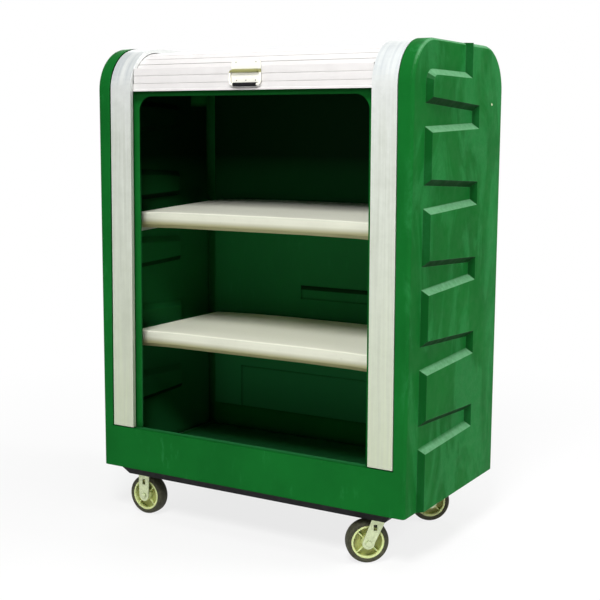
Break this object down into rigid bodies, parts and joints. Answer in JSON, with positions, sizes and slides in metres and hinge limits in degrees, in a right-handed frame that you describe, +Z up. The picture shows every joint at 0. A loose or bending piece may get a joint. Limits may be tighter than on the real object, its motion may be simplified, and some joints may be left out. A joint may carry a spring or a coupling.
{
  "type": "tambour door cart",
  "caption": "Tall moulded storage cabinet on casters with shelves and a slatted tambour door that slides in side channels, up the front, over the top and down the back.",
  "frame": {"origin": "on the floor, under the middle of the cabinet's width and depth", "axes": "+Z up; the open front with the door faces -Y; the swivel casters are at the +X end"},
  "size_m": [1.3666, 0.745, 1.815],
  "materials": {
    "green_plastic": "satin moulded",
    "black_plastic": "matte moulded",
    "aluminium": "satin extruded",
    "white_slats": "semi-gloss extruded",
    "cream_plastic": "satin moulded",
    "cream_nylon": "satin moulded",
    "rubber": "matte",
    "plated_steel": "plated"
  },
  "bodies": {
    "cart": {"cabinet_shell": "green_plastic", "base_pan": "black_plastic", "left_channel": "aluminium", "right_channel": "aluminium", "upper_left_rail": "aluminium", "upper_right_rail": "aluminium", "lower_left_rail": "aluminium", "lower_right_rail": "aluminium", "front_curve_slat_1": "white_slats", "front_curve_slat_2": "white_slats", "front_curve_slat_3": "white_slats", "front_curve_slat_4": "white_slats", "front_curve_slat_5": "white_slats", "front_curve_slat_6": "white_slats", "back_curve_slat_1": "white_slats", "back_curve_slat_2": "white_slats", "back_curve_slat_3": "white_slats", "back_curve_slat_4": "white_slats", "back_curve_slat_5": "white_slats", "back_curve_slat_6": "white_slats", "back_curve_slat_7": "white_slats", "back_curve_slat_8": "white_slats", "roof_slats": "white_slats", "back_curtain": "white_slats", "front_curtain": "white_slats", "upper_shelf": "cream_plastic", "lower_shelf": "cream_plastic", "front_left_fork": "plated_steel", "front_left_axle": "plated_steel", "back_left_fork": "plated_steel", "back_left_axle": "plated_steel", "front_right_plate": "plated_steel", "front_right_kingpin": "plated_steel", "back_right_plate": "plated_steel", "back_right_kingpin": "plated_steel"},
    "door": {"door_panel": "white_slats", "handle_plate": "plated_steel"},
    "bail": {"handle_bail": "plated_steel", "handle_grip": "black_plastic"},
    "curtain_tail": {"curtain_tail_bar": "white_slats"},
    "front_left_wheel": {"front_left_hub": "cream_nylon", "front_left_tyre": "rubber"},
    "back_left_wheel": {"back_left_hub": "cream_nylon", "back_left_tyre": "rubber"},
    "front_right_wheel": {"front_right_hub": "cream_nylon", "front_right_tyre": "rubber"},
    "back_right_wheel": {"back_right_hub": "cream_nylon", "back_right_tyre": "rubber"},
    "front_right_swivel": {"front_right_fork": "plated_steel", "front_right_axle": "plated_steel"},
    "back_right_swivel": {"back_right_fork": "plated_steel", "back_right_axle": "plated_steel"}
  },
  "joints": [
    {"name": "door_slide", "type": "slide", "parent": "cart", "child": "door", "axis": [0, 0, -1], "range_m": [0, 1.288], "deforming": ["front_curtain"]},
    {"name": "tail_slide", "type": "slide", "parent": "cart", "child": "curtain_tail", "axis": [0, 0, 1], "range_m": [0, 1.288], "deforming": ["back_curtain"]},
    {"name": "bail_hinge", "type": "hinge", "parent": "door", "child": "bail", "pos_m": [0, -0.3616, 1.712], "axis": [-1, 0, 0], "range_deg": [0, 95]},
    {"name": "front_left_wheel_spin", "type": "hinge", "parent": "cart", "child": "front_left_wheel", "pos_m": [-0.505, -0.2775, 0.0762], "axis": [0, 1, 0], "continuous": true},
    {"name": "back_left_wheel_spin", "type": "hinge", "parent": "cart", "child": "back_left_wheel", "pos_m": [-0.505, 0.2475, 0.0762], "axis": [0, 1, 0], "continuous": true},
    {"name": "front_right_swivel_turn", "type": "hinge", "parent": "cart", "child": "front_right_swivel", "pos_m": [0.505, -0.2775, 0.17], "axis": [0, 0, 1], "continuous": true},
    {"name": "front_right_wheel_spin", "type": "hinge", "parent": "front_right_swivel", "child": "front_right_wheel", "pos_m": [0.47348, -0.30213, 0.0762], "axis": [0.6157, -0.788, 0], "continuous": true},
    {"name": "back_right_swivel_turn", "type": "hinge", "parent": "cart", "child": "back_right_swivel", "pos_m": [0.505, 0.2475, 0.17], "axis": [0, 0, 1], "continuous": true},
    {"name": "back_right_wheel_spin", "type": "hinge", "parent": "back_right_swivel", "child": "back_right_wheel", "pos_m": [0.47348, 0.22287, 0.0762], "axis": [0.6157, -0.788, 0], "continuous": true}
  ],
  "couplings": [
    {"joint": "tail_slide", "follows": "door_slide", "ratio": 1}
  ]
}
